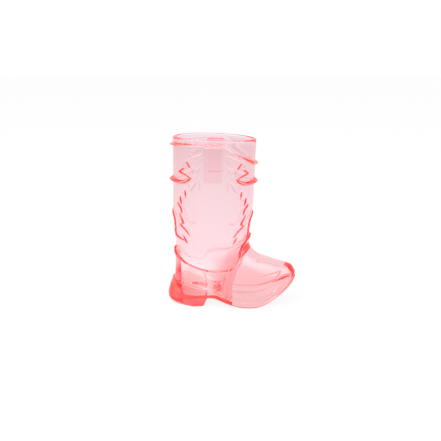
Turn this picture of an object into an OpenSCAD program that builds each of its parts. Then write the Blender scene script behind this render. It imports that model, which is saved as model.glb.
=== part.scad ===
// Cowboy boot shot glass in tinted clear plastic: a hollow upper, an outsole and a heel cap.
// Millimetres, +Z up, toe towards +X, origin on the ground under the middle of the boot's box.

/* [Boot] */
// Length from the back of the heel to the tip of the sole
boot_length = 54.4; // [50:0.2:60]
// Height of the rim at the middle of the shaft
rim_height = 70.2; // [66:0.2:74]
// Width of the shaft at the rim
rim_width = 26.8; // [26:0.2:29]
// How far the rim falls from the back to the front
rim_fall = 1.2; // [0:0.1:2.4]
// How far the rim rises at the two sides
rim_scallop = 0.1; // [0:0.1:1]
// Thickness of the moulded wall
wall = 1.5; // [1.3:0.1:1.6]
// Thickness of the wall round the toe
toe_wall = 1.7; // [1.5:0.1:2]

/* [Sole and heel] */
// Thickness of the outsole under the ball of the foot
sole_thick = 2.4; // [2:0.1:2.8]
// Height of the heel cap
heel_height = 3.1; // [2.6:0.1:3.6]
// How far the heel seat rises above the sole at the ball
heel_rise = 8.2; // [7.4:0.1:9]
// How far the toe curves up from the ground
toe_spring = 9.4; // [8:0.2:10]
// How far the sole's edge stands out past the upper
welt_ledge = 0.7; // [0.5:0.1:1]
// Depth of the rebate in the outsole that the upper sits in
rebate_depth = 0.6; // [0.4:0.1:0.8]
// Gap between the upper and the side of the rebate
rebate_gap = 0.1; // [0.05:0.05:0.2]
// Height of the inside floor of the cup over the heel
floor_height = 4.2; // [4:0.1:5]

/* [Relief] */
// Radius of the collar and seam beads
bead_r = 0.9; // [0.6:0.1:1.1]
// Radius of the ornament's strokes at their middle
stroke_r = 0.7; // [0.5:0.1:0.9]
// Width of each pull strap
strap_width = 7.4; // [6:0.1:9]
// Height of each pull strap
strap_height = 14; // [12:0.2:16]
// How far a strap stands out from the shaft
strap_thick = 0.9; // [0.6:0.1:1.2]

/* [Hidden] */

tint = [1, 0.62, 0.66, 0.6];
heel_tint = [0.98, 0.42, 0.45, 0.8];

// Places along the boot, measured from the back of the heel
ball_u = 33.5;
arch_u = 34;
shaft_u = 19.5;
waist_u = 18.5;
spring_u = 36;
breast_u = 16.6;
heel_middle_u = 9.5;
strap_u = 19.8;
hollow_back_u = 22;
pocket_back_u = 28;

// The form's own size, which the sections below are drawn at
last_length = 54.4;
last_height = 70.2;
last_width = 26.8;

// Sections of the upper from the welt to the rim. Each one follows the sole's curve by a share,
// so it is: height, share of the sole's curve, back, front, half width
last = [
    [0, 1, 2.8, 53.7, 11.2],
    [1.2, 0.95, 2.9, 54.2, 11.5],
    [3.2, 0.85, 2.95, 54.2, 11.5],
    [6, 0.75, 3.1, 53.6, 11.3],
    [10, 0.6, 3.25, 52.2, 10.9],
    [13.8, 0.45, 3.25, 48.5, 10.6],
    [17.5, 0.25, 3.3, 43.5, 10.5],
    [19.7, 0.1, 3.35, 39.2, 10.5],
    [22.1, 0, 3.45, 36.5, 10.6],
    [24.5, 0, 3.55, 34.9, 10.8],
    [27.5, 0, 3.45, 34.5, 11.2],
    [32, 0, 2.85, 34.9, 11.8],
    [40, 0, 2.6, 35.8, 12.6],
    [52, 0, 2.8, 36.4, 13.3],
    [62, 0, 2.9, 36.75, 13.6],
    [70.2, 0, 3, 37.05, 13.4]
];
rim_level = len(last) - 1;
shaft_level = 10;
hollow_level = 9;

// Sections of the cup below the ankle, where its front leans back to the heel: height, back,
// widest place, front, half width, squareness behind and in front
cup_sections = [
    [floor_height, 5.4, 16.5, 25.8, 7, 2.8, 3.2],
    [floor_height + 0.6, 5, 17, 26, 7.2, 2.8, 3.2],
    [7.8, 4.8, 19, 26.4, 7.5, 2.8, 3.2],
    [11.4, 4.8, 20, 27.3, 8.1, 2.8, 3.2],
    [15.2, 4.9, 20, 28.5, 8.5, 2.6, 3],
    [20, 4.95, 20, 31.2, 8.8, 2.3, 2.6],
    [25, 5, 19.2, 33.3, 9.3, 2, 2]
];

// The sections lower than this follow the sole's underside
floor_top = 7;

// Thickness of the cup's own wall where the toe's hollow wraps round it
cup_wall = 1.3;

// The slanting face that ends the toe's hollow, as distance from the heel and height
tip_face = [[49.8, 15.6], [53.2, 11.2]];
toe_floor = 0.6;

segments = 44;
bead_steps = 32;
bead_facets = 6;
over = 3;

heel_flare = last[0][2] * boot_length / last_length - welt_ledge;
flare_low_share = 0.2;
flare_middle_share = 0.55;
flare_middle = 0.68;
flare_top = 0.1;
round_edge = 0.5;
heel_round = 3.6;
breast_lean = 1.4;

// How the form bends: the toe's curve, its thinner sole, the waist and the slant of the rim
spring_power = 1.75;
toe_thinning = 0.3;
waist_depth = 0.26;
waist_spread = 7;
scallop_start = 40;

function smooth(t) = let (c = min(1, max(0, t))) c * c * (3 - 2 * c);
function blend(a, b, t) = a + (b - a) * t;
function unit(v) = v / norm(v);
function angles() = [for (i = [0:segments - 1]) 360 * i / segments];

// Height of the welt, the line where the upper meets the sole
function welt(u) =
    sole_thick + heel_rise * smooth(1 - u / arch_u)
    + toe_spring * pow(max(0, (u - spring_u) / (boot_length - spring_u)), spring_power);

// Height of the sole's underside, level over the heel cap and thinner at the toe
function underside(u) =
    u < ball_u
    ? min(welt(u) - sole_thick, heel_height)
    : welt(u) - sole_thick * (1 - toe_thinning * smooth((u - ball_u) / (boot_length - ball_u)));

// A smooth curve through the rows of the sections' table
function section(level) =
    let (i = min(floor(level), rim_level - 1), f = level - i)
    let (p0 = last[max(i - 1, 0)], p1 = last[i], p2 = last[i + 1], p3 = last[min(i + 2, rim_level)])
    let (raw = 0.5 * (2 * p1 + (p2 - p0) * f + (2 * p0 - 5 * p1 + 4 * p2 - p3) * f * f
                      + (3 * p1 - p0 - 3 * p2 + p3) * f * f * f))
    [raw[0] * rim_height / last_height, max(0, raw[1]), raw[2] * boot_length / last_length,
     raw[3] * boot_length / last_length, raw[4] * rim_width / last_width];

// A point of the outline of a section: squarer than an ellipse at the heel, drawn in at the waist.
// grow moves the outline outwards and heel_grow moves its back end further
function outline(sec, a, grow = 0, heel_grow = 0) =
    let (share = sec[1], c = cos(a), s = sin(a))
    let (middle = blend((sec[2] + sec[3]) / 2, shaft_u, smooth(share * 4)))
    let (wide = blend(middle, ball_u, smooth(share)))
    let (power = c < 0 ? 2 / (2 + share / 2) : 1)
    let (reach = grow + (c < 0 ? wide - sec[2] + heel_grow : sec[3] - wide))
    let (u = wide + sign(c) * reach * pow(abs(c), power))
    let (waist = 1 - waist_depth * share * share * exp(-pow((u - waist_u) / waist_spread, 2)))
    [u, (sec[4] + grow) * sign(s) * pow(abs(s), power) * waist];

// A point of the upper's outside at a level of the sections and an angle round the boot
function skin(level, a) =
    let (sec = section(level), p = outline(sec, a))
    let (rim = smooth((sec[0] - scallop_start) / (rim_height - scallop_start)))
    let (fall = rim_fall / 2 * cos(a), rise = rim_scallop * pow(sin(a), 2))
    [p[0] - boot_length / 2, p[1], sec[0] + sec[1] * welt(p[0]) + rim * (rise - fall)];

// A point set in from that outside, square to it
function inside(level, a, depth) =
    let (near = max(level - 0.05, 0), far = min(level + 0.05, rim_level))
    let (up = skin(far, a) - skin(near, a), round_it = skin(level, a + 1) - skin(level, a - 1))
    skin(level, a) - depth * unit(cross(round_it, up));

// The level at which the upper's outside reaches a height, found by halving
function level_at(a, z, low = 0, high = rim_level, tries = 18) =
    tries == 0
    ? (low + high) / 2
    : let (mid = (low + high) / 2)
      skin(mid, a)[2] < z ? level_at(a, z, mid, high, tries - 1) : level_at(a, z, low, mid, tries - 1);
function on_skin(a, z, lift) = inside(level_at(a, z), a, -lift);

// The angle round the boot at which the skin at a height lies at a distance from the heel
function turn_at(u, z, low = 0, high = 180, tries = 14) =
    tries == 0
    ? (low + high) / 2
    : let (mid = (low + high) / 2)
      skin(level_at(mid, z), mid)[0] > u - boot_length / 2
      ? turn_at(u, z, mid, high, tries - 1) : turn_at(u, z, low, mid, tries - 1);

// A closed solid through rings of points, each ring symmetrical about the boot's middle plane
module loft(rings) {
    n = len(rings[0]);
    last_ring = (len(rings) - 1) * n;
    half = n / 2;
    sides = [
        for (j = [0:len(rings) - 2], i = [0:n - 1])
            let (k = (i + 1) % n, low = j * n, high = low + n)
            each [[low + i, high + i, high + k], [low + i, high + k, low + k]]
    ];
    cap = concat(
        [[0, 1, n - 1], [half - 1, half, half + 1]],
        [for (i = [1:half - 2]) each [[i, i + 1, n - i - 1], [i, n - i - 1, n - i]]]
    );
    lid = [for (f = cap) [last_ring + f[2], last_ring + f[1], last_ring + f[0]]];
    polyhedron([for (r = rings) each r], concat(sides, cap, lid));
}

// The whole outside of the upper, from its seat in the outsole to the rim
module upper_form() {
    seat = [for (a = angles()) skin(0, a) - [0, 0, rebate_depth]];
    foot = [for (level = [0:0.5:shaft_level - 0.5]) [for (a = angles()) skin(level, a)]];
    shaft = [for (level = [shaft_level:rim_level]) [for (a = angles()) skin(level, a)]];
    loft(concat([seat], foot, shaft));
}

// The space for the drink, open past the rim, or the outside of a wall round it
module cup_form(grow = 0) {
    low = [for (row = cup_sections) [for (a = angles()) cup_point(row, a, grow)]];
    high = [for (level = [shaft_level:rim_level]) [for (a = angles()) inside(level, a, wall - grow)]];
    brim = [for (p = high[len(high) - 1]) [p[0], p[1], rim_height + over]];
    loft(concat(low, high, [brim]));
}
function cup_point(row, a, grow) =
    let (c = cos(a), s = sin(a), power = 2 / (c < 0 ? row[5] : row[6]))
    let (reach = c < 0 ? row[2] - row[1] : row[3] - row[2])
    let (u = boot_length / last_length * (row[2] + (reach + grow) * sign(c) * pow(abs(c), power)))
    let (y = rim_width / last_width * (row[4] + grow) * sign(s) * pow(abs(s), power))
    let (drop = row[0] < floor_top ? underside(u) - heel_height - grow : 0)
    [u - boot_length / 2, y, row[0] + drop];

// Everything between a place along the boot and the slanting face at the tip of the toe
function tip_u(z) =
    let (slope = (tip_face[1][0] - tip_face[0][0]) / (tip_face[1][1] - tip_face[0][1]))
    boot_length / last_length * (tip_face[0][0] + slope * (z - tip_face[0][1]));
module toe_room(back_u) {
    top = last[shaft_level][0];
    sides = [[back_u, -over], [tip_u(-over), -over], [tip_u(top), top], [back_u, top]];
    translate([-boot_length / 2, 0, 0])
        rotate([90, 0, 0])
            linear_extrude(2 * rim_width, center = true) polygon(sides);
}

// The sealed space in the toe of the upper, which wraps round the front of the cup's wall
module toe_hollow() {
    rings = [
        for (level = [0:0.5:hollow_level])
            [for (a = angles()) inside(level, a, toe_wall)]
    ];
    below = [for (p = rings[0]) p - [0, 0, over]];
    difference() {
        intersection() {
            loft(concat([below], rings));
            toe_room(hollow_back_u);
        }
        cup_form(cup_wall);
    }
}

// A raised line through points on the skin, thickest where its radii say
module bead(path, radii) {
    for (i = [0:len(path) - 2])
        hull()
            for (j = [i, i + 1])
                translate(path[j]) sphere(radii[j], $fn = bead_facets);
}

// Angle towards the front, from the middle of the boot's side: -90 at the back, 90 at the front
function from_side(a) = asin(cos(a));

// The bead under the rim, as angle from the side and height: level behind the straps, then falling
// to the front
collar_route = [
    [-90, 67.5], [-45, 68.2], [-10, 68.4], [11, 68.4], [24, 66.1], [36, 64], [54, 62], [67, 60.8], [90, 59.4]
];
function collar_height(a) = lookup(from_side(a), collar_route);

// The seam round the ankle: lowest on the near side, higher at the back and highest at the instep.
// On the far side it waves
near_seam = [
    [-90, 23], [-68, 20.9], [-54, 19.3], [-40, 17.5], [-29, 16.3], [-21, 15.7], [-12, 15.5], [2, 16],
    [11, 16.9], [20, 18], [31, 19.7], [39, 22], [46, 23.8], [54, 25.9], [64, 27.7], [81, 28.9], [90, 29.4]
];
far_seam = [
    [-90, 23.3], [-57, 21], [-43, 18.2], [-29, 16.3], [-15, 18.9], [-3, 19.5],
    [10, 19.6], [25, 20.6], [43, 22.8], [64, 26], [90, 29.4]
];
function seam_height(a) = lookup(from_side(a), sin(a) > 0 ? far_seam : near_seam);

module ring_beads() {
    turn = [for (i = [0:bead_steps]) 360 * i / bead_steps];
    radii = [for (a = turn) bead_r];
    bead([for (a = turn) on_skin(a, collar_height(a), bead_r / 3)], radii);
    bead([for (a = turn) on_skin(a, seam_height(a), bead_r / 3)], radii);
}

// The seam down each side of the counter, from the ankle seam to the welt
counter_route = [[116, 15.4], [118, 11.4], [120, 8]];
counter_share = 0.6;
module side_seam(side) {
    path = [for (p = counter_route) on_skin(side * p[0], p[1], 0)];
    bead(path, [for (p = path) bead_r * counter_share]);
}

// A pull strap: a pad with round edges, bent to the shaft
strap_top = 68;
module strap(side) {
    half = strap_width / 2 - strap_thick;
    hull()
        for (u = [strap_u - half, strap_u, strap_u + half], z = [strap_top, strap_top - strap_height])
            translate(on_skin(side * turn_at(u, z), z, 0)) sphere(strap_thick, $fn = bead_facets + 3);
}

// Strokes of the stitched flourish on a quarter of the shaft, as angle from the side and height
wing = [
    [[88, 53.6], [76, 52.9], [51, 52.8], [41, 53.5], [33, 54.8]],
    [[33, 54.8], [41, 55.8], [53, 56.9], [48, 58]],
    [[40, 61.1], [33.5, 59]],
    [[42.5, 49.7], [41, 46.6]],
    [[53, 46.7], [49.5, 43.8]],
    [[59, 43.9], [51, 42], [48.5, 39.8]],
    [[54, 39.5], [46, 35.8]],
    [[53, 35], [42, 33], [34, 30.5]],
    [[47, 30.4], [41, 27]],
    [[87, 40], [70, 36.5], [68, 33.2], [69, 30.2], [58, 28.9], [45, 28.2]]
];
wing_lean = 0.4;
tip_share = 0.55;

// side is 1 or -1 for the two sides, and toe is 1 or -1 for the front and back of each
module wing_strokes(side, toe) {
    for (stroke = wing) {
        ends = len(stroke) - 1;
        path = [
            for (p = stroke)
                on_skin(side * (90 - toe * p[0]), p[1] - toe * wing_lean, stroke_r / 4)
        ];
        bead(path, [for (i = [0:ends]) i == 0 || i == ends ? stroke_r * tip_share : stroke_r]);
    }
}

module boot_upper() {
    color(tint)
        union() {
            difference() {
                upper_form();
                cup_form();
                toe_hollow();
            }
            ring_beads();
            for (side = [-1, 1]) {
                side_seam(side);
                strap(side);
                for (toe = [-1, 1]) wing_strokes(side, toe);
            }
        }
}

// A ring round the sole, moved outwards by grow, at a share of the way from underside to welt
function sole_ring(grow, heel_grow, share, lift = 0) = [
    for (a = angles())
        let (p = outline(section(0), a, grow, heel_grow))
        [p[0] - boot_length / 2, p[1], blend(underside(p[0]), welt(p[0]), share) + lift]
];

// The same along the bottom edge, which is rounded only in front of the heel
function bottom_ring() = [
    for (a = angles())
        let (p = outline(section(0), a, welt_ledge - round_edge * smooth(3 * cos(a) + 2), heel_flare))
        [p[0] - boot_length / 2, p[1], underside(p[0])]
];

// The outsole: a tray with a ledge, a rebate for the upper, and hollows under the cup and toe
module outsole() {
    color(tint)
        difference() {
            loft([
                bottom_ring(),
                sole_ring(welt_ledge, heel_flare, flare_low_share),
                sole_ring(welt_ledge, heel_flare * flare_middle, flare_middle_share),
                sole_ring(welt_ledge, heel_flare * flare_top, 1),
                sole_ring(rebate_gap, 0, 1),
                sole_ring(rebate_gap, 0, 1, -rebate_depth)
            ]);
            cup_form();
            intersection() {
                loft([sole_ring(-toe_wall, 0, 0, toe_floor), sole_ring(-toe_wall, 0, 1, over)]);
                toe_room(pocket_back_u);
            }
        }
}

// The solid cap under the heel: its front leans in, and its bottom edge is rounded round the back
heel_turns = [-80:20:80];
module heel_cap() {
    front = breast_u - boot_length / 2;
    edge = [
        for (a = angles())
            let (p = outline(section(0), a, welt_ledge, heel_flare))
            if (p[0] < breast_u + over) [p[0] - boot_length / 2, p[1]]
    ];
    color(heel_tint)
        intersection() {
            linear_extrude(heel_height) polygon(edge);
            rotate([90, 0, 0])
                linear_extrude(rim_width, center = true)
                    polygon([[-boot_length, 0], [front - breast_lean, 0], [front, heel_height],
                             [-boot_length, heel_height]]);
            intersection_for (turn = heel_turns) heel_rounding(edge, turn);
        }
}

// Everything inside a rounded bottom edge that touches the heel's outline from one direction
module heel_rounding(edge, turn) {
    middle = [heel_middle_u - boot_length / 2, 0];
    back = min([for (p = edge) (p - middle) * [cos(turn), sin(turn)]]);
    radius = heel_round * (1 - pow(turn / 90, 2));
    corner = [
        for (a = [180:15:270])
            [back + radius * (1 + cos(a)), heel_height * (1 + sin(a))]
    ];
    translate(middle)
        rotate([0, 0, turn])
            rotate([90, 0, 0])
                linear_extrude(2 * boot_length, center = true)
                    polygon(concat(corner, [[boot_length, 0], [boot_length, heel_height]]));
}

boot_upper();
outsole();
heel_cap();
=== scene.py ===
import math

import bmesh
import bpy
import numpy as np
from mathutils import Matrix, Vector
from mathutils.kdtree import KDTree


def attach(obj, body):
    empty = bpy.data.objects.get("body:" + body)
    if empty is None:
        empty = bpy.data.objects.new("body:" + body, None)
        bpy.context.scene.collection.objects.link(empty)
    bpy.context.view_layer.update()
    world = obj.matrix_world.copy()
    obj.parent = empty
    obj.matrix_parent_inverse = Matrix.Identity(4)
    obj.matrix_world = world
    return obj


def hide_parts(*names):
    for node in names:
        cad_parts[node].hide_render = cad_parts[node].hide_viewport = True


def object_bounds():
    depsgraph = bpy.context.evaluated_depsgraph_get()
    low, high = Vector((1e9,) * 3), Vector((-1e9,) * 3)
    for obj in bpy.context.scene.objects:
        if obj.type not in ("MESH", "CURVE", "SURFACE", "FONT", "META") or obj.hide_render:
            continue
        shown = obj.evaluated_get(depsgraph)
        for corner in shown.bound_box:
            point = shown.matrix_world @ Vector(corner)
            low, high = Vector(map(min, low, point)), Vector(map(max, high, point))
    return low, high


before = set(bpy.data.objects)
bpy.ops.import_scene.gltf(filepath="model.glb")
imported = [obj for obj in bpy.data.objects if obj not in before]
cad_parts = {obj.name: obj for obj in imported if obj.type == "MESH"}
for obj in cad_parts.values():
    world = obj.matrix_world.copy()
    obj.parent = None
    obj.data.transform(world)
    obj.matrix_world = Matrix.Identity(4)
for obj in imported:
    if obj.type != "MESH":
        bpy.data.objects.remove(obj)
cadLow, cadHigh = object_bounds()
mm = 0.001
print("frame loaded, box in mm:", [round((h - l) / mm, 2) for l, h in zip(cadLow, cadHigh)])

# The boot's form in millimetres: u runs from the back of the heel, z from the ground
bootForm = {
    "length": (cadHigh.x - cadLow.x) / mm,
    "rimFall": 1.2,
    "rimScallop": 0.1,
    "scallopStart": 40.0,
    "wall": 1.5,
    "soleThick": 2.4,
    "toeThinning": 0.3,
    "heelHeight": 3.1,
    "heelRise": 8.2,
    "toeSpring": 9.4,
    "springPower": 1.75,
    "springStart": 36.0,
    "ball": 33.5,
    "archEnd": 34.0,
    "shaft": 19.5,
    "middleBlend": 0.25,
    "heelSquareness": 0.5,
    "waist": 18.5,
    "waistDepth": 0.26,
    "waistSpread": 7.0,
    "weltLedge": 0.7,
    "rebateDepth": 0.6,
    "rebateGap": 0.04,
    "heelBreast": 16.6,
}

# Sections from the welt to the rim: height, share of the sole's curve, back, front, half width
lastRows = np.array([
    [0, 1, 2.8, 53.7, 11.2],
    [1.2, 0.95, 2.9, 54.2, 11.5],
    [3.2, 0.85, 2.95, 54.2, 11.5],
    [6, 0.75, 3.1, 53.6, 11.3],
    [10, 0.6, 3.25, 52.2, 10.9],
    [13.8, 0.45, 3.25, 48.5, 10.6],
    [17.5, 0.25, 3.3, 43.5, 10.5],
    [19.7, 0.1, 3.35, 39.2, 10.5],
    [22.1, 0, 3.45, 36.5, 10.6],
    [24.5, 0, 3.55, 34.9, 10.8],
    [27.5, 0, 3.45, 34.5, 11.2],
    [32, 0, 2.85, 34.9, 11.8],
    [40, 0, 2.6, 35.8, 12.6],
    [52, 0, 2.8, 36.4, 13.3],
    [62, 0, 2.9, 36.75, 13.6],
    [70.2, 0, 3, 37.05, 13.4],
], float)
rimLevel = len(lastRows) - 1
rimHeight = lastRows[-1][0]

# The cup below the ankle: height, back, widest place, front, half width, squareness behind and in front
cupRows = np.array([
    [25, 5, 19.2, 33.3, 9.3, 2, 2],
    [20, 4.95, 20, 31.2, 8.8, 2.3, 2.6],
    [15.2, 4.9, 20, 28.5, 8.5, 2.6, 3.6],
    [11.4, 4.8, 20, 27.3, 8.1, 2.8, 4.6],
    [7.8, 4.8, 19, 26.4, 7.5, 2.8, 5],
    [4.8, 5, 17, 26, 7.2, 2.8, 5],
    [4.2, 5.4, 16.5, 25.8, 7, 2.8, 5],
])
cupFloorStart = 7.8  # below this height the cup follows the sole's underside

# How finely curves are followed: steps are in levels and radians, points are counts
sampling = {
    "levels": 3001,
    "halvings": 24,
    "levelStep": 0.05,
    "angleStep": 0.017,
    "rowSlack": 0.01,
    "aroundPoints": 361,
    "seamPoints": 13,
    "strokePoints": 8,
}
tiny = 1e-9  # counts as nothing


def smoothStep(t):
    t = np.clip(t, 0, 1)
    return t * t * (3 - 2 * t)


def blend(a, b, t):
    return a + (b - a) * t


def unit(v):
    return v / np.linalg.norm(v, axis=-1, keepdims=True)


def weltHeight(u):
    heel = bootForm["heelRise"] * smoothStep(1 - u / bootForm["archEnd"])
    along = np.maximum(0, (u - bootForm["springStart"]) / (bootForm["length"] - bootForm["springStart"]))
    return bootForm["soleThick"] + heel + bootForm["toeSpring"] * along ** bootForm["springPower"]


def soleUnderside(u):
    welt = weltHeight(u)
    toe = smoothStep((u - bootForm["ball"]) / (bootForm["length"] - bootForm["ball"]))
    front = welt - bootForm["soleThick"] * (1 - bootForm["toeThinning"] * toe)
    back = np.minimum(welt - bootForm["soleThick"], bootForm["heelHeight"])
    return np.where(u < bootForm["ball"], back, front)


def curveThrough(keys, place):
    # a Catmull-Rom curve through the first axis of keys
    i = np.clip(np.floor(place).astype(int), 0, len(keys) - 2)
    f = (place - i).reshape(place.shape + (1,) * (keys.ndim - 1))
    p0, p1 = keys[np.maximum(i - 1, 0)], keys[i]
    p2, p3 = keys[i + 1], keys[np.minimum(i + 2, len(keys) - 1)]
    bend = (2 * p0 - 5 * p1 + 4 * p2 - p3) * f ** 2 + (3 * p1 - p0 - 3 * p2 + p3) * f ** 3
    return 0.5 * (2 * p1 + (p2 - p0) * f + bend)


def outlineAt(section, angle, grow=0.0, heelGrow=0.0):
    # a section's outline: squarer than an ellipse at the heel, drawn in at the waist
    share = np.maximum(section[..., 1], 0)
    back, front, halfWidth = section[..., 2], section[..., 3], section[..., 4]
    c, s = np.cos(angle), np.sin(angle)
    middle = blend((back + front) / 2, bootForm["shaft"], smoothStep(share / bootForm["middleBlend"]))
    wide = blend(middle, bootForm["ball"], smoothStep(share))
    power = np.where(c < 0, 2 / (2 + bootForm["heelSquareness"] * share), 1)
    reach = grow + np.where(c < 0, wide - back + heelGrow, front - wide)
    u = wide + np.sign(c) * reach * np.abs(c) ** power
    pinch = np.exp(-((u - bootForm["waist"]) / bootForm["waistSpread"]) ** 2)
    y = (halfWidth + grow) * np.sign(s) * np.abs(s) ** power
    return u, y * (1 - bootForm["waistDepth"] * share ** 2 * pinch)


def skinAt(level, angle):
    level, angle = np.broadcast_arrays(np.asarray(level, float), np.asarray(angle, float))
    section = curveThrough(lastRows, level)
    u, y = outlineAt(section, angle)
    start = bootForm["scallopStart"]
    rim = smoothStep((section[..., 0] - start) / (rimHeight - start))
    lift = bootForm["rimScallop"] * np.sin(angle) ** 2 - bootForm["rimFall"] / 2 * np.cos(angle)
    z = section[..., 0] + np.maximum(section[..., 1], 0) * weltHeight(u) + rim * lift
    return np.stack([u - bootForm["length"] / 2, y, z], -1)


def skinFrame(level, angle):
    # the skin's point, its outward normal and its direction up the boot
    rise, swing = sampling["levelStep"], sampling["angleStep"]
    up = skinAt(np.minimum(level + rise, rimLevel), angle) - skinAt(np.maximum(level - rise, 0), angle)
    turn = skinAt(level, angle + swing) - skinAt(level, angle - swing)
    return skinAt(level, angle), unit(np.cross(turn, up)), unit(up)


def insetAt(level, angle, depth):
    point, normal = skinFrame(level, angle)[:2]
    return point - np.asarray(depth)[..., None] * normal


def levelAt(angle, z):
    # the level at which the skin reaches a height, found by halving
    low, high = np.zeros_like(angle), np.full_like(angle, rimLevel)
    for step in range(sampling["halvings"]):
        middle = (low + high) / 2
        below = skinAt(middle, angle)[..., 2] < z
        low, high = np.where(below, middle, low), np.where(below, high, middle)
    return (low + high) / 2


levelSteps = np.linspace(0, rimLevel, sampling["levels"])
heightSteps = curveThrough(lastRows, levelSteps)[:, 0]


def levelFor(height):
    return np.interp(height, heightSteps, levelSteps)


def ringAngles(columns):
    return np.arange(columns) * 2 * math.pi / columns


def newPiece(name, bm):
    bmesh.ops.recalc_face_normals(bm, faces=bm.faces)
    mesh = bpy.data.meshes.new(name)
    bm.to_mesh(mesh)
    bm.free()
    piece = bpy.data.objects.new(name, mesh)
    bpy.context.scene.collection.objects.link(piece)
    return piece


def uprightEdges(bm):
    # the edges that join the two ends of a shape of height 1
    return [e for e in bm.edges if abs(e.verts[0].co.z - e.verts[1].co.z) > 0.5]


def extrudeFaces(bm):
    # extrudes every face and gives the new vertices
    made = bmesh.ops.extrude_face_region(bm, geom=bm.faces[:])
    return [v for v in made["geom"] if isinstance(v, bmesh.types.BMVert)]


def plainTube(rows, columns):
    bm = bmesh.new()
    bmesh.ops.create_cone(bm, cap_ends=False, segments=columns, radius1=1, radius2=1, depth=1)
    bmesh.ops.subdivide_edges(bm, edges=uprightEdges(bm), cuts=rows - 2, use_grid_fill=True)
    return bm


def tubePlaces(bm, rows):
    # the row and the angle at which each vertex of a plain tube lies
    place = np.array([v.co[:] for v in bm.verts])
    return (place[:, 2] + 0.5) * (rows - 1), np.arctan2(place[:, 1], place[:, 0])


def ringPoints(rings, row, angle):
    columns = rings.shape[1]
    column = np.round(angle * columns / (2 * math.pi)).astype(int) % columns
    return rings[np.round(row).astype(int), column]


def moveVerts(bm, points):
    for v, point in zip(bm.verts, points):
        v.co = point * mm


def ringTube(rings):
    # an open tube whose rings of vertices are moved to the given points, in millimetres
    bm = plainTube(*rings.shape[:2])
    moveVerts(bm, ringPoints(rings, *tubePlaces(bm, len(rings))))
    return bm


def openLoops(bm):
    # the open rings of edges at the two ends of a tube
    # dictionaries keep the edges in the same order each run, which sets don't
    loops, left = [], dict.fromkeys(e for e in bm.edges if e.is_boundary)
    while left:
        loop, todo = [], [left.popitem()[0]]
        while todo:
            edge = todo.pop()
            loop.append(edge)
            linked = dict.fromkeys(e for v in edge.verts for e in v.link_edges if e in left)
            for found in linked:
                del left[found]
            todo.extend(linked)
        loops.append(loop)
    return loops


def closeFlat(bm):
    bmesh.ops.holes_fill(bm, edges=[e for e in bm.edges if e.is_boundary], sides=0)


def closeAcross(bm):
    # strips across the boot, so that a lid follows the sole's curve
    for loop in openLoops(bm):
        sides = [e for e in loop if min(abs(v.co.y) for v in e.verts) > tiny]
        bmesh.ops.bridge_loops(bm, edges=sides)
    closeFlat(bm)


def cutAway(piece, tool):
    cut = piece.modifiers.new("cut", "BOOLEAN")
    cut.operation = "DIFFERENCE"
    cut.solver = "MANIFOLD"
    cut.object = tool
    bpy.context.view_layer.update()
    graph = bpy.context.evaluated_depsgraph_get()
    made = bpy.data.meshes.new_from_object(piece.evaluated_get(graph))
    piece.modifiers.clear()
    old, piece.data = piece.data, made
    made.name = piece.name
    bpy.data.meshes.remove(old)
    bpy.data.meshes.remove(tool.data)


# Raised lines of the upper in millimetres: flank is the share of a line's half width that slopes,
# and routes go by degrees from the side towards the front and by height
# each line's weight of painted shade darkens it to red, standing in for how light bends at its edges
relief = {
    "collar": {
        "radius": 0.72, "proud": 1.3, "flank": 0.85, "sideShare": 0.78, "tint": 0.15, "farShare": 0.6,
        "farShadeWeight": 1.0, "backSpread": 1.0,
        "route": [(-90, 67.5), (-45, 68.2), (-10, 68.4), (11, 68.4), (24, 66.1),
                  (36, 64), (54, 62), (67, 60.8), (90, 59.4)],
    },
    "ankleSeam": {
        "radius": 0.6, "proud": 0.75, "flank": 0.8, "sideShare": 0.9, "tint": 1.0, "farShare": 1.0,
        "farShadeWeight": 2.5, "backSpread": 2.4,
        "route": [(-90, 22.4), (-68, 20.8), (-54, 19.3), (-40, 17.5), (-29, 16.3), (-21, 15.7),
                  (-12, 15.5), (2, 16), (11, 16.9), (20, 18), (31, 19.7), (39, 22),
                  (46, 23.8), (54, 25.9), (64, 27.7), (81, 28.9), (90, 29.4)],
        "farRoute": [(-90, 23.3), (-57, 21), (-43, 18.2), (-29, 16.3), (-25, 16.6), (-15, 18.9), (-3, 19.5),
                     (10, 19.6), (25, 20.6), (43, 22.8), (64, 26), (90, 29.4)],
    },
    "sideSeam": {"radius": 0.6, "proud": 0.3, "flank": 1.0, "route": [(-26, 15.4), (-28, 11.4), (-30, 8)]},
    "strap": {
        "middle": 19.4, "halfWidth": 3.8, "top": 68.1, "bottom": 53.5, "proud": 0.9, "edge": 0.8,
        "corner": 1.4, "sideOnly": 0.7, "farShift": 0.9,
        "farShare": 0.5, "farEnd": 0.4, "farSide": 1.4, "farShadeWeight": 0.4,
    },
    "wingLean": 0.4,
    "wingFlank": 0.85,
    "wingTip": 0.55,
    "wingEnd": 0.5,
    "backStart": 0.75,
    "farFull": 0.5,
    "far": {"proud": 0.28, "spread": 1.9, "tint": 0.6},
    "margin": 0.2,
}

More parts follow.
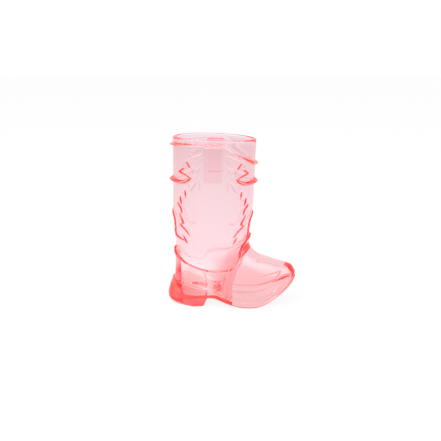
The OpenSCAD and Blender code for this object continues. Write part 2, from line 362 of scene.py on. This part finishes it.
# Strokes of the flourish on a quarter of the shaft: proud, radius, then angle from the side and height
wingStrokes = [
    (1.4, 0.9, [(90, 53.5), (80, 52.9), (70, 52.8), (51, 52.8), (41, 53.5), (33, 54.8)]),
    (0.75, 0.55, [(33, 54.8), (41, 55.8), (53, 56.9), (50, 57.9), (44, 58.4)]),
    (0.9, 0.6, [(40, 61.1), (33.5, 59)]),
    (0.65, 0.5, [(42.5, 49.7), (41, 46.6)]),
    (0.65, 0.5, [(53, 46.7), (49.5, 43.8)]),
    (0.65, 0.5, [(59, 43.9), (51, 42), (48.5, 39.8)]),
    (0.65, 0.5, [(54, 39.5), (48, 37), (46, 35.8), (51.5, 35.3)]),
    (0.65, 0.5, [(53, 35), (42, 33), (34, 30.5)]),
    (0.5, 0.5, [(87, 40), (76, 38), (70, 36.5), (68, 33.2), (69, 30.2), (58, 28.9), (46, 28.2)]),
    (0.3, 0.6, [(24, 53.6), (33, 49.8)]),
    (0.25, 0.5, [(19, 55.3), (19.5, 50.6)]),
    (0.25, 0.7, [(16.5, 64.3), (26, 63.1), (36, 62)]),
    (0.3, 0.45, [(29.3, 66.1), (27.5, 64.2)]),
    (0.25, 0.5, [(18, 59.9), (24, 57.4)]),
    (0.22, 0.5, [(36, 37), (30, 36.5), (24.5, 37.1)]),
]
backStrokes = [(0.65, 0.5, [(47, 30.4), (41, 27)])]
frontStrokes = [(0.65, 0.5, [(40.2, 30.1), (34, 27.5)])]

# Creases on the near side of the toe: proud, radius, weight of painted shade, then angle from the side and
# height
toeCreases = [
    (0.3, 0.42, 4.0, [(44.5, 12.2), (49, 13.2), (56, 14.6)]),
    (0.18, 0.36, 3.0, [(56, 14.6), (43, 13.8), (31, 13.1)]),
]


def fromSide(angle):
    # degrees towards the front: -90 at the back, 90 at the front
    return np.degrees(np.arcsin(np.cos(angle)))


def awayAt(angle):
    # 0 on the near side, rising to 1 on the far side
    return smoothStep(np.sin(angle) / relief["farFull"])


def collarHeight(angle):
    return np.interp(fromSide(angle), *np.array(relief["collar"]["route"]).T)


def seamHeight(angle):
    look, f = relief["ankleSeam"], fromSide(angle)
    near = np.interp(f, *np.array(look["route"]).T)
    far = np.interp(f, *np.array(look["farRoute"]).T)
    return np.where(np.sin(angle) > 0, far, near)


def onSkin(angle, z):
    return skinAt(levelAt(angle, z), angle)


def beadRise(points, path, shape):
    # how far a line along the path lifts each point of the skin, that lift by the line's weight
    # of painted shade, and which points lie by the line
    rise, paintedShade, busy = np.zeros(len(points)), np.zeros(len(points)), np.zeros(len(points), bool)
    reach = shape[:, 0].max() + relief["margin"]
    near = np.all((points > path.min(0) - reach) & (points < path.max(0) + reach), axis=1)
    close = points[near]
    best, lineShade, by = np.zeros(len(close)), np.zeros(len(close)), np.zeros(len(close), bool)
    for a, b, first, second in zip(path[:-1], path[1:], shape[:-1], shape[1:]):
        along = b - a
        t = np.clip((close - a) @ along / max(along @ along, tiny), 0, 1)
        gap = np.linalg.norm(close - a - t[:, None] * along, axis=1)
        radius, proud, flank, strength = (first + (second - first) * t[:, None]).T
        lift = proud * smoothStep((1 - gap / radius) / flank)
        best, lineShade = np.maximum(best, lift), np.maximum(lineShade, lift * strength)
        by |= gap < radius + relief["margin"]
    rise[near], paintedShade[near], busy[near] = best, lineShade, by
    return rise, paintedShade, busy


def lineShape(radius, proud, flank, tint, away):
    # a line's half width, height, flank and weight of painted shade along its path:
    # lower, wider and softer on the far side
    far = relief["far"]
    shape = [radius * blend(1, far["spread"], away), proud * blend(1, far["proud"], away)]
    shape += [blend(flank, 1, away), tint * blend(1, far["tint"], away)]
    return np.stack(np.broadcast_arrays(*shape), -1)


def strokePath(keys, points, side, toe=1, lean=0.0):
    # a stroke's path on the skin, and how far each point is from the stroke's nearer end
    last = len(keys) - 1
    place = np.linspace(0, last, points)
    route = curveThrough(np.array(keys, float), place)
    angle = side * np.radians(90 - toe * route[:, 0])
    return onSkin(angle, route[:, 1] - toe * lean), np.minimum(place, last - place)


def raisedLines():
    # every raised line as a path on the skin and its shape along that path
    turn = np.linspace(0, 2 * math.pi, sampling["aroundPoints"])
    atBack = smoothStep((-np.cos(turn) - relief["backStart"]) / (1 - relief["backStart"]))
    away = awayAt(turn)
    for part, height in (("collar", collarHeight), ("ankleSeam", seamHeight)):
        look = relief[part]
        side = blend(look["sideShare"], 1, np.cos(turn) ** 2)
        radius = look["radius"] * side * blend(1, look["backSpread"], atBack)
        tint = blend(look["tint"], 1, np.cos(turn) ** 4) * blend(1, look["farShadeWeight"], away)
        proud = look["proud"] * side * blend(1, look["farShare"], away)
        yield onSkin(turn, height(turn)), lineShape(radius, proud, look["flank"], tint, away)
    for proud, radius, tint, crease in toeCreases:
        path = strokePath(crease, sampling["strokePoints"] * len(crease), -1)[0]
        yield path, lineShape(np.full(len(path), radius), proud, 1, tint, 0)
    for side in (-1, 1):
        away = max(side, 0)
        look = relief["sideSeam"]
        path = strokePath(look["route"], sampling["seamPoints"], side)[0]
        yield path, lineShape(np.full(len(path), look["radius"]), look["proud"], look["flank"], 1, away)
        for toe in (-1, 1):
            for proud, radius, stroke in wingStrokes + (frontStrokes if toe > 0 else backStrokes):
                points = sampling["strokePoints"] * len(stroke)
                path, toEnd = strokePath(stroke, points, side, toe, relief["wingLean"])
                share = blend(relief["wingTip"], 1, smoothStep(toEnd / relief["wingEnd"]))
                yield path, lineShape(radius * share, proud * share, relief["wingFlank"], 1, away)


def reliefRise(points, angle):
    # the height of the relief over points of the skin, the painted shade of its lines,
    # and where the mesh is finer
    look, away = relief["strap"], awayAt(angle)
    middle = look["middle"] + look["farShift"] * away - bootForm["length"] / 2
    out = look["halfWidth"] - look["corner"] - np.abs(points[:, 0] - middle)
    down = points[:, 2] - look["bottom"] - look["corner"]
    past, below = np.minimum(out, 0) ** 2, np.minimum(down, 0) ** 2
    gap = look["corner"] - np.sqrt(past + below)
    gap = np.where(np.minimum(out, down) > 0, look["corner"] + np.minimum(out, down), gap)
    toTop = look["top"] - points[:, 2]
    atEnd = np.where(toTop < gap, 1, below / np.maximum(past + below, tiny))
    gap = np.minimum(gap, toTop)
    gap = np.where(np.abs(np.sin(angle)) > look["sideOnly"], gap, -1)
    edge = blend(look["edge"], blend(look["farSide"], look["farEnd"], atEnd), away)
    step = smoothStep(gap / edge)
    pad = look["proud"] * blend(1, look["farShare"], away) * step
    busy = (gap > -relief["margin"]) & (gap < edge + relief["margin"])
    slope = 4 * step * (1 - step)  # 1 halfway up the strap's edge, 0 at its foot and top
    # painted shade on the sloping end of the far strap, where light bends at its edge
    rise, paintedShade = pad, look["farShadeWeight"] * away * atEnd * slope
    for path, shape in raisedLines():
        lift, lineShade, by = beadRise(points, path, shape)
        rise, paintedShade, busy = np.maximum(rise, lift), np.maximum(paintedShade, lineShade), busy | by
    return rise, paintedShade, busy


# The upper's mesh and fit: heights, steps and gaps in millimetres
upperLook = {
    "columns": 176,
    "footStep": 0.65,
    "shaftStart": 26.0,
    "shaftRows": 84,
    "skirt": 9.0,
    "finer": 2,
    "lipSteps": 9,
    "innerStep": 2.0,
    "cupSteps": 4,
    "ankleHeights": [36.0, 33.0, 30.0, 28.0],
    "seatGap": 0.03,
    "seatColumns": 160,
    "seatReach": 40.0,
    "seatDrop": 20.0,
    "paintedShadeReach": 0.02,
    "sharpAngle": 45,
}


def cupRings(angle, grow=0.0):
    # the inside of the cup from the ankle down to its floor, or the outside of a wall round it
    height, back, widest, front, halfWidth, squareBack, squareFront = cupRows.T[:, :, None]
    c, s = np.cos(angle), np.sin(angle)
    power = 2 / np.where(c < 0, squareBack, squareFront)
    reach = np.where(c < 0, widest - back, front - widest) + grow
    x = widest + reach * np.sign(c) * np.abs(c) ** power - bootForm["length"] / 2
    y = (halfWidth + grow) * np.sign(s) * np.abs(s) ** power
    fall = soleUnderside(x + bootForm["length"] / 2) - bootForm["heelHeight"]
    z = np.where(height < cupFloorStart, height + fall - grow, height)
    ankle = levelFor(np.array(upperLook["ankleHeights"]))[:, None]
    shaft = insetAt(ankle, angle[None, :], np.full((1, 1), bootForm["wall"] - grow))
    keys = np.concatenate([shaft, np.stack([x, y, z], -1)])
    place = np.linspace(0, len(keys) - 1, (len(keys) - 1) * upperLook["cupSteps"] + 1)
    return curveThrough(keys, place)


def buildUpper():
    angle = ringAngles(upperLook["columns"])
    lip = bootForm["wall"] / 2
    foot = np.arange(0, upperLook["shaftStart"], upperLook["footStep"])
    shaft = np.linspace(upperLook["shaftStart"], rimHeight - lip, upperLook["shaftRows"])
    levels = levelFor(np.concatenate([foot, shaft]))
    skin, normal, up = skinFrame(levels[:, None], angle[None, :])
    below = skin[:1] * [1, 1, 0] - [0, 0, upperLook["skirt"]]
    arc = np.linspace(0, math.pi, upperLook["lipSteps"])[1:-1, None, None]
    rim = skin[-1] - lip * normal[-1] + lip * (np.cos(arc) * normal[-1] + np.sin(arc) * up[-1])
    inner = np.arange(rimHeight - lip, upperLook["ankleHeights"][0], -upperLook["innerStep"])
    cup = insetAt(levelFor(inner)[:, None], angle[None, :], np.full((1, 1), bootForm["wall"]))
    rings = np.concatenate([below, skin, rim, cup, cupRings(angle)])

    # row 0 is the skirt and rows 1 to top are the outer skin, with a finer mesh along the raised lines
    top = len(levels)
    bm = plainTube(*rings.shape[:2])
    row, around = tubePlaces(bm, len(rings))
    busy = reliefRise(ringPoints(rings, row, around), around)[2] & (row > 0.5) & (row < top + 0.5)
    for v, isBusy, onRow in zip(bm.verts, busy, row):
        v.tag, v.select = bool(isBusy), bool(onRow > top + 0.5)
    fine = [f for f in bm.faces if any(v.tag for v in f.verts) and not any(v.select for v in f.verts)]
    edges = dict.fromkeys(e for f in fine for e in f.edges)
    bmesh.ops.subdivide_edges(bm, edges=list(edges), cuts=upperLook["finer"], use_grid_fill=True)

    row, around = tubePlaces(bm, len(rings))
    points = ringPoints(rings, row, around)
    outer = (row > 0.5) & (row < top + sampling["rowSlack"])
    level = np.interp(row[outer], np.arange(1, top + 1), levels)
    skin, normal = skinFrame(level, around[outer])[:2]
    rise, paintedShade = reliefRise(skin, around[outer])[:2]
    points[outer] = skin + normal * rise[:, None]
    moveVerts(bm, points)
    closeAcross(bm)
    print("relief raised on", int((rise > 0).sum()), "of", rise.size, "points")
    return newPiece("bootUpper", bm), points[outer], paintedShade


def markRaised(piece, places, paintedShade):
    # keeps the painted shade of the raised lines at each vertex: their height in millimetres
    # by their weight of painted shade
    tree = KDTree(len(places))
    for i, place in enumerate(places):
        tree.insert(place * mm, i)
    tree.balance()
    kept = piece.data.attributes.new("raised", "FLOAT", "POINT")
    for v in piece.data.vertices:
        place, i, gap = tree.find(v.co)
        kept.data[v.index].value = paintedShade[i] if gap < upperLook["paintedShadeReach"] * mm else 0


def cupTool(grow=0.0):
    bm = ringTube(cupRings(ringAngles(soleLook["columns"]), grow))
    closeAcross(bm)
    return newPiece("cupTool", bm)


def seatTool():
    # what lies below the seat of the upper in the sole's rebate
    bm = bmesh.new()
    columns, reach = upperLook["seatColumns"], upperLook["seatReach"] * mm
    bmesh.ops.create_grid(bm, x_segments=columns, y_segments=1, size=reach)
    for v in bm.verts:
        u = v.co.x / mm + bootForm["length"] / 2
        v.co.z = (weltHeight(u) - bootForm["rebateDepth"] + upperLook["seatGap"]) * mm
    for v in extrudeFaces(bm):
        v.co.z = -upperLook["seatDrop"] * mm
    return newPiece("seatTool", bm)


# The hollow of the toe and the sole's pocket under it in millimetres: a face goes through two places
toeSpace = {
    "columns": 144,
    "rows": 73,
    "topLevel": 9,
    "cupWall": 1.3,
    "backFace": [(22.0, 9.0), (22.0, 3.0)],
    "wall": 1.8,
    "roof": 1.7,
    "roofLevels": (1.0, 6.0),
    "pocketBack": [(27.4, 10.0), (27.4, 0.0)],
    "pocketMiddle": 0.5,
    "pocketWall": 0.8,
    "floor": 0.45,
    "tipFace": [(49.8, 15.6), (53.2, 11.2)],
    "over": 3.0,
}


def cutOff(bm, high, low, behind):
    # cuts off what lies behind, or in front of, a face through two places given as u and z
    (highU, highZ), (lowU, lowZ) = high, low
    place = ((highU - bootForm["length"] / 2) * mm, 0, highZ * mm)
    facing = (highZ - lowZ, 0, lowU - highU)
    bmesh.ops.bisect_plane(
        bm, geom=bm.verts[:] + bm.edges[:] + bm.faces[:], plane_co=place, plane_no=facing,
        clear_inner=behind, clear_outer=not behind,
    )
    closeFlat(bm)


def toeTool():
    # the sealed space in the toe, which wraps round the front of the cup's own wall
    angle = ringAngles(toeSpace["columns"])[None, :]
    level = np.linspace(0, toeSpace["topLevel"], toeSpace["rows"])[:, None]
    low, high = toeSpace["roofLevels"]
    overhead = smoothStep((level - low) / (high - low))
    rings = insetAt(level, angle, blend(toeSpace["wall"], toeSpace["roof"], overhead))
    bm = ringTube(np.concatenate([rings[:1] - [0, 0, toeSpace["over"]], rings]))
    closeAcross(bm)
    cutOff(bm, *toeSpace["backFace"], behind=True)
    cutOff(bm, *toeSpace["tipFace"], behind=False)
    tool = newPiece("toeTool", bm)
    cutAway(tool, cupTool(toeSpace["cupWall"]))
    return tool


# The outsole in millimetres: its rounding in front, its side and its top edge
soleLook = {
    "columns": 288,
    "roundEdge": 1.3,
    "roundFlat": 0.55,
    "roundShare": 0.6,
    "roundFrom": -2 / 3,
    "roundTo": -1 / 3,
    "flatMargin": 0.4,
    "edgeSteps": 7,
    "sideSteps": 9,
    "sideTop": 0.75,
    "topRound": 0.2,
    "topLedge": 0.3,
    "flare": lastRows[0][2] - bootForm["weltLedge"],
    "flareShares": [(0.2, 1), (0.55, 0.68), (1, 0.1)],
    "sharpAngle": 35,
}


def soleRing(angle, grow, flare, share, lift=0.0):
    # a ring round the sole, at a share of the way from its underside to the welt
    u, y = outlineAt(lastRows[0], angle, grow, flare)
    z = blend(soleUnderside(u), weltHeight(u), share) + lift
    return np.stack([u - bootForm["length"] / 2, y, z], -1)


def buildOutsole():
    angle = ringAngles(soleLook["columns"])
    ledge, flare, top = bootForm["weltLedge"], soleLook["flare"], soleLook["topRound"]
    u = outlineAt(lastRows[0], angle, ledge, flare)[0]
    thick = weltHeight(u) - soleUnderside(u)
    start, full = soleLook["roundFrom"], soleLook["roundTo"]
    inFront = smoothStep((np.cos(angle) - start) / (full - start))
    rounding = inFront * np.minimum(soleLook["roundEdge"], soleLook["roundShare"] * thick)
    topLedge = blend(ledge, soleLook["topLedge"], inFront)
    low = ledge - rounding * soleLook["roundFlat"]
    # a ring within the underside keeps its shading flat up to the rounded edge
    rings = [soleRing(angle, low - soleLook["flatMargin"], flare, 0)]
    for turn in np.linspace(0, math.pi / 2, soleLook["edgeSteps"]):
        edge = soleRing(angle, blend(low, ledge, math.sin(turn)), flare, 0)
        edge[:, 2] += rounding * (1 - math.cos(turn))
        rings.append(edge)
    for way in np.linspace(0, soleLook["sideTop"], soleLook["sideSteps"])[1:]:
        share = blend(rounding / thick, 1, way)
        lean = smoothStep(way / soleLook["sideTop"])
        flared = flare * np.interp(share, *np.array(soleLook["flareShares"]).T)
        rings.append(soleRing(angle, blend(ledge, topLedge, lean), flared, share))
    topFlare = flare * soleLook["flareShares"][-1][1]
    for turn in np.linspace(0, math.pi / 2, soleLook["edgeSteps"]):
        grow = topLedge - top * (1 - math.cos(turn))
        rings.append(soleRing(angle, grow, topFlare, 1, top * (math.sin(turn) - 1)))
    gap = bootForm["rebateGap"]
    rings.append(soleRing(angle, gap, 0, 1))
    rings.append(soleRing(angle, gap, 0, 1, -bootForm["rebateDepth"]))
    bm = ringTube(np.array(rings))
    closeAcross(bm)
    return newPiece("soleTray", bm)


def pocketTool():
    angle = ringAngles(toeSpace["columns"])
    inset = -toeSpace["pocketWall"]
    rings = [
        soleRing(angle, inset, 0, 0, toeSpace["floor"]),
        soleRing(angle, inset, 0, toeSpace["pocketMiddle"]),
        soleRing(angle, inset, 0, 1, toeSpace["over"]),
    ]
    bm = ringTube(np.array(rings))
    closeAcross(bm)
    cutOff(bm, *toeSpace["pocketBack"], behind=True)
    return newPiece("pocketTool", bm)


# The heel cap in millimetres
heelLook = {
    "columns": 160,
    "backRound": 3.6,
    "breastLean": 1.4,
    "steps": 15,
    "flatMargin": 0.3,
    "gap": 0.03,
    "sharpAngle": 35,
}


def buildHeel():
    # the sole's outline pulled up, with its bottom edge rounded round the back and its front leaning in
    columns, top = heelLook["columns"], bootForm["heelHeight"] - heelLook["gap"]
    back, breast = -bootForm["length"] / 2, bootForm["heelBreast"]
    u, y = outlineAt(lastRows[0], ringAngles(columns), bootForm["weltLedge"], soleLook["flare"])
    edge = np.stack([u + back, y], -1)
    along = np.roll(edge, -1, axis=0) - np.roll(edge, 1, axis=0)
    outward = unit(np.stack([along[:, 1], -along[:, 0]], -1))
    turn = np.arctan2(outward[:, 1], -outward[:, 0]) / (math.pi / 2)
    inset = heelLook["backRound"] * np.maximum(0, 1 - turn ** 2)
    bm = bmesh.new()
    bmesh.ops.create_circle(bm, cap_ends=True, segments=columns, radius=1)
    bmesh.ops.translate(bm, vec=(0, 0, 1), verts=extrudeFaces(bm))
    bmesh.ops.subdivide_edges(bm, edges=uprightEdges(bm), cuts=heelLook["steps"])
    for v in bm.verts:
        column = round(math.atan2(v.co.y, v.co.x) * columns / (2 * math.pi)) % columns
        curl = 1 - math.sqrt(max(0, 1 - (1 - v.co.z) ** 2))
        place = edge[column] - outward[column] * inset[column] * curl
        v.co = (place[0] * mm, place[1] * mm, v.co.z * top * mm)
    cutOff(bm, (breast, top), (breast - heelLook["breastLean"], 0), behind=False)
    bottom = [f for f in bm.faces if max(v.co.z for v in f.verts) < tiny]
    bmesh.ops.inset_region(bm, faces=bottom, thickness=heelLook["flatMargin"] * mm)
    return newPiece("heelCap", bm)


def finishPiece(piece, node, material, sharp):
    piece.data.materials.clear()
    piece.data.materials.append(material)
    piece.data.shade_smooth()
    piece.data.set_sharp_from_angle(angle=math.radians(sharp))
    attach(piece, "root")
    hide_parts(node)
    triangles = sum(len(p.vertices) - 2 for p in piece.data.polygons)
    print(piece.name, "built:", triangles, "triangles")


white = (1.0, 1.0, 1.0)


def mixColours(nodes, links, share, first, second):
    mix = nodes.new("ShaderNodeMix")
    mix.data_type = "RGBA"
    links.new(share, mix.inputs["Factor"])
    # sockets 6 and 7 take the two colours, and socket 2 gives the mixed one
    for socket, colour in ((mix.inputs[6], first), (mix.inputs[7], second)):
        if isinstance(colour, tuple):
            socket.default_value = (*colour, 1)
        else:
            links.new(colour, socket)
    return mix.outputs[2]


def shareBetween(nodes, links, value, low, high):
    # a node that runs from 0 to 1 while the value goes from low to high
    share = nodes.new("ShaderNodeMapRange")
    share.inputs["From Min"].default_value = low
    share.inputs["From Max"].default_value = high
    links.new(value, share.inputs["Value"])
    return share


def reckon(nodes, links, operation, first, second):
    # a maths node on two values, of which the second may be a plain number
    made = nodes.new("ShaderNodeMath")
    made.operation = operation
    links.new(first, made.inputs[0])
    if isinstance(second, float):
        made.inputs[1].default_value = second
    else:
        links.new(second, made.inputs[1])
    return made.outputs[0]


def vectorNode(nodes, links, operation, vector, second=None):
    made = nodes.new("ShaderNodeVectorMath")
    made.operation = operation
    links.new(vector, made.inputs[0])
    if second is not None:
        made.inputs[1].default_value = second
    return made


def noiseAt(nodes, links, place, scale, detail):
    noise = nodes.new("ShaderNodeTexNoise")
    noise.inputs["Scale"].default_value = scale
    noise.inputs["Detail"].default_value = detail
    links.new(place, noise.inputs["Vector"])
    return noise.outputs["Fac"]


# Clear moulded plastic: absorbs is what it takes from red, green and blue light in each metre,
# lines and the tip are in millimetres, and the flow's depth is in metres
plasticLook = {
    "index": 1.57,
    "absorbs": (1.5, 107.0, 103.0),
    "soleAbsorbs": (1.5, 128.0, 138.0),
    # painted light: a faint red glow given off inside the plastic
    "glow": (3.0, 0.5, 0.2),
    # painted shade: the red that the raised lines are darkened to, standing in for how light bends at their
    # edges
    "linePaintedShade": (1.0, 0.5, 0.42),
    # painted shade: the deep red of the solid tip of the toe, standing in for light bending through thick
    # plastic
    "tipPaintedShade": (1.0, 0.04, 0.015),
    "lineHeight": 0.7,
    "tipStart": 18.0,
    "tipSkip": 0.4,
    "tipDepth": 0.5,
    "flowScale": 260.0,
    "flowDetail": 2,
    "flowDepth": 0.00001,
    "smearScale": 90.0,
    "smearDetail": 3,
    "smearRange": (0.35, 0.75),
    "gloss": (0.0, 0.03),
    "densityMargin": 1.02,
}


def tipShare(nodes, links, place):
    # 1 in the solid tip of the toe, beyond the face that ends its hollow: where the deep painted shade goes
    (highU, highZ), (lowU, lowZ) = toeSpace["tipFace"]
    facing = Vector((highZ - lowZ, 0, lowU - highU)).normalized()
    face = Vector((highU - bootForm["length"] / 2, 0, highZ))
    start = facing.dot(face) + plasticLook["tipSkip"]
    full = start + plasticLook["tipDepth"]
    along = vectorNode(nodes, links, "DOT_PRODUCT", place, facing)
    beyond = shareBetween(nodes, links, along.outputs["Value"], start * mm, full * mm)
    parts = nodes.new("ShaderNodeSeparateXYZ")
    links.new(place, parts.inputs[0])
    inToe = reckon(nodes, links, "GREATER_THAN", parts.outputs["X"], plasticLook["tipStart"] * mm)
    return reckon(nodes, links, "MULTIPLY", beyond.outputs["Result"], inToe)


def plasticDepth(nodes, links, absorbs):
    # what the plastic takes from light on its way, and a faint red glow painted into it as added light
    density = max(absorbs) * plasticLook["densityMargin"]
    volume = nodes.new("ShaderNodeVolumeAbsorption")
    volume.inputs["Color"].default_value = [1 - a / density for a in absorbs] + [1]
    volume.inputs["Density"].default_value = density
    strength = max(plasticLook["glow"])
    glow = nodes.new("ShaderNodeEmission")
    glow.inputs["Color"].default_value = [g / strength for g in plasticLook["glow"]] + [1]
    glow.inputs["Strength"].default_value = strength
    both = nodes.new("ShaderNodeAddShader")
    links.new(volume.outputs["Volume"], both.inputs[0])
    links.new(glow.outputs["Emission"], both.inputs[1])
    return both.outputs["Shader"]


def clearPlastic(name, absorbs):
    material = bpy.data.materials.new(name)
    material.use_nodes = True
    nodes, links = material.node_tree.nodes, material.node_tree.links
    shader = nodes["Principled BSDF"]
    shader.inputs["Transmission Weight"].default_value = 1
    shader.inputs["IOR"].default_value = plasticLook["index"]
    place = nodes.new("ShaderNodeTexCoord").outputs["Object"]

    # painted shade: a light red shade in the raised lines, and a deep one in the tip of the toe
    raised = nodes.new("ShaderNodeAttribute")
    raised.attribute_name = "raised"
    line = shareBetween(nodes, links, raised.outputs["Fac"], 0, plasticLook["lineHeight"])
    colour = mixColours(nodes, links, line.outputs["Result"], white, plasticLook["linePaintedShade"])
    tip = tipShare(nodes, links, place)
    colour = mixColours(nodes, links, tip, colour, plasticLook["tipPaintedShade"])
    links.new(colour, shader.inputs["Base Color"])

    # faint smears in the gloss, and the slow waves of a moulded skin
    smear = noiseAt(nodes, links, place, plasticLook["smearScale"], plasticLook["smearDetail"])
    gloss = shareBetween(nodes, links, smear, *plasticLook["smearRange"])
    gloss.inputs["To Min"].default_value, gloss.inputs["To Max"].default_value = plasticLook["gloss"]
    links.new(gloss.outputs["Result"], shader.inputs["Roughness"])
    bump = nodes.new("ShaderNodeBump")
    bump.inputs["Distance"].default_value = plasticLook["flowDepth"]
    flow = noiseAt(nodes, links, place, plasticLook["flowScale"], plasticLook["flowDetail"])
    links.new(flow, bump.inputs["Height"])
    links.new(bump.outputs["Normal"], shader.inputs["Normal"])
    links.new(plasticDepth(nodes, links, absorbs), nodes["Material Output"].inputs["Volume"])
    return material


upper, reliefPlaces, reliefPaintedShade = buildUpper()
cutAway(upper, seatTool())
cutAway(upper, toeTool())
markRaised(upper, reliefPlaces, reliefPaintedShade)
outsole = buildOutsole()
cutAway(outsole, cupTool())
cutAway(outsole, pocketTool())
heel = buildHeel()
upperPlastic = clearPlastic("upperPlastic", plasticLook["absorbs"])
solePlastic = clearPlastic("solePlastic", plasticLook["soleAbsorbs"])
heelPlastic = clearPlastic("heelPlastic", plasticLook["absorbs"])
finishPiece(upper, "boot_upper", upperPlastic, upperLook["sharpAngle"])
finishPiece(outsole, "outsole", solePlastic, soleLook["sharpAngle"])
finishPiece(heel, "heel_cap", heelPlastic, heelLook["sharpAngle"])

# Camera, floor and light, in metres and watts
studio = {
    "cameraPlace": (-0.0048, -0.2629, 0.1025),
    "cameraPitch": 75.6,
    "lens": 52.65,
    "sensor": 36.0,
    "clip": (0.01, 20.0),
    "floorRadius": 3.0,
    "floorSides": 64,
    "floorGap": 0.00005,
    "floorColour": 0.85,
    "floorGlow": 0.8,
    "floorWhite": 1.07,
    # painted shade seen through the plastic: a falloff of light across the floor and a pink shadow round
    # the boot
    "fall": (0.1, 0.55),
    "nearFloor": (0.97, 0.98, 1.05),
    "farFloorShade": (0.74, 0.69, 0.745),
    "paintedBootShadow": (1.0, 0.68, 0.71),
    "footprint": (0.036, 0.042),
    "footprintEdge": (0.7, 1.6),
    "roomTone": (0.95, 0.92, 0.96),
    "worldLight": 0.75,
    "lights": {
        "keyLight": {"place": (-0.35, -0.3, 0.6), "size": 0.5, "power": 1.6},
        "fillLight": {"place": (0.45, -0.25, 0.4), "size": 0.5, "power": 0.8},
    },
    "bounces": 96,
}


def backdropShare(nodes, links):
    # 1 for what the camera sees itself, in a reflection or through the plastic
    path = nodes.new("ShaderNodeLightPath")
    share = path.outputs["Is Camera Ray"]
    for seen in ("Is Glossy Ray", "Is Transmission Ray"):
        share = reckon(nodes, links, "MAXIMUM", share, path.outputs[seen])
    return share


def throughPlastic(nodes, links, tone):
    # white, or the tone where it is seen through the plastic
    path = nodes.new("ShaderNodeLightPath")
    return mixColours(nodes, links, path.outputs["Is Transmission Ray"], white, tone)


def setCamera():
    camera = bpy.data.cameras.new("camera")
    camera.lens = studio["lens"]
    camera.sensor_width = studio["sensor"]
    camera.clip_start, camera.clip_end = studio["clip"]
    eye = bpy.data.objects.new("camera", camera)
    eye.location = studio["cameraPlace"]
    eye.rotation_euler = (math.radians(studio["cameraPitch"]), 0, 0)
    bpy.context.scene.collection.objects.link(eye)
    bpy.context.scene.camera = eye


def palePaper():
    paper = bpy.data.materials.new("palePaper")
    paper.use_nodes = True
    nodes, links = paper.node_tree.nodes, paper.node_tree.links
    nodes.remove(nodes["Principled BSDF"])
    matt = nodes.new("ShaderNodeBsdfDiffuse")
    tone = studio["floorColour"]
    matt.inputs["Color"].default_value = (tone, tone, tone, 1)

    # painted shade, seen only through the plastic: greyer paper far off as painted falloff of the light,
    # and pinker paper under the boot as its painted pink shadow
    place = nodes.new("ShaderNodeTexCoord").outputs["Object"]
    distance = vectorNode(nodes, links, "LENGTH", place)
    fall = shareBetween(nodes, links, distance.outputs["Value"], *studio["fall"])
    seen = mixColours(nodes, links, fall.outputs["Result"], studio["nearFloor"], studio["farFloorShade"])
    footprint = vectorNode(nodes, links, "DIVIDE", place, (*studio["footprint"], 1))
    reach = vectorNode(nodes, links, "LENGTH", footprint.outputs["Vector"])
    edge = shareBetween(nodes, links, reach.outputs["Value"], *studio["footprintEdge"])
    edge.interpolation_type = "SMOOTHSTEP"
    seen = mixColours(nodes, links, edge.outputs["Result"], studio["paintedBootShadow"], seen)
    glow = nodes.new("ShaderNodeEmission")
    glow.inputs["Strength"].default_value = studio["floorWhite"]
    links.new(throughPlastic(nodes, links, seen), glow.inputs["Color"])

    share = reckon(nodes, links, "MULTIPLY", backdropShare(nodes, links), studio["floorGlow"])
    both = nodes.new("ShaderNodeMixShader")
    links.new(share, both.inputs["Fac"])
    links.new(matt.outputs[0], both.inputs[1])
    links.new(glow.outputs[0], both.inputs[2])
    links.new(both.outputs[0], nodes["Material Output"].inputs["Surface"])
    return paper


def buildFloor():
    bm = bmesh.new()
    bmesh.ops.create_circle(bm, cap_ends=True, segments=studio["floorSides"], radius=studio["floorRadius"])
    bmesh.ops.translate(bm, vec=(0, 0, -studio["floorGap"]), verts=bm.verts)
    floor = newPiece("floor", bm)
    floor.data.materials.append(palePaper())


def setRoom():
    world = bpy.data.worlds.new("softRoom")
    world.use_nodes = True
    bpy.context.scene.world = world
    nodes, links = world.node_tree.nodes, world.node_tree.links
    background = nodes["Background"]
    strength = shareBetween(nodes, links, backdropShare(nodes, links), 0, 1)
    strength.inputs["To Min"].default_value = studio["worldLight"]
    links.new(strength.outputs["Result"], background.inputs["Strength"])
    links.new(throughPlastic(nodes, links, studio["roomTone"]), background.inputs["Color"])


def setLights():
    middle = (cadLow + cadHigh) / 2
    for name, light in studio["lights"].items():
        lamp = bpy.data.lights.new(name, "AREA")
        lamp.size = light["size"]
        lamp.energy = light["power"]
        holder = bpy.data.objects.new(name, lamp)
        holder.location = light["place"]
        holder.rotation_euler = (middle - holder.location).to_track_quat("-Z", "Y").to_euler()
        bpy.context.scene.collection.objects.link(holder)


setCamera()
buildFloor()
setRoom()
setLights()
scene = bpy.context.scene
scene.view_settings.view_transform = "Standard"
scene.cycles.max_bounces = studio["bounces"]
scene.cycles.transmission_bounces = studio["bounces"]
scene.cycles.glossy_bounces = studio["bounces"]
print("studio set")
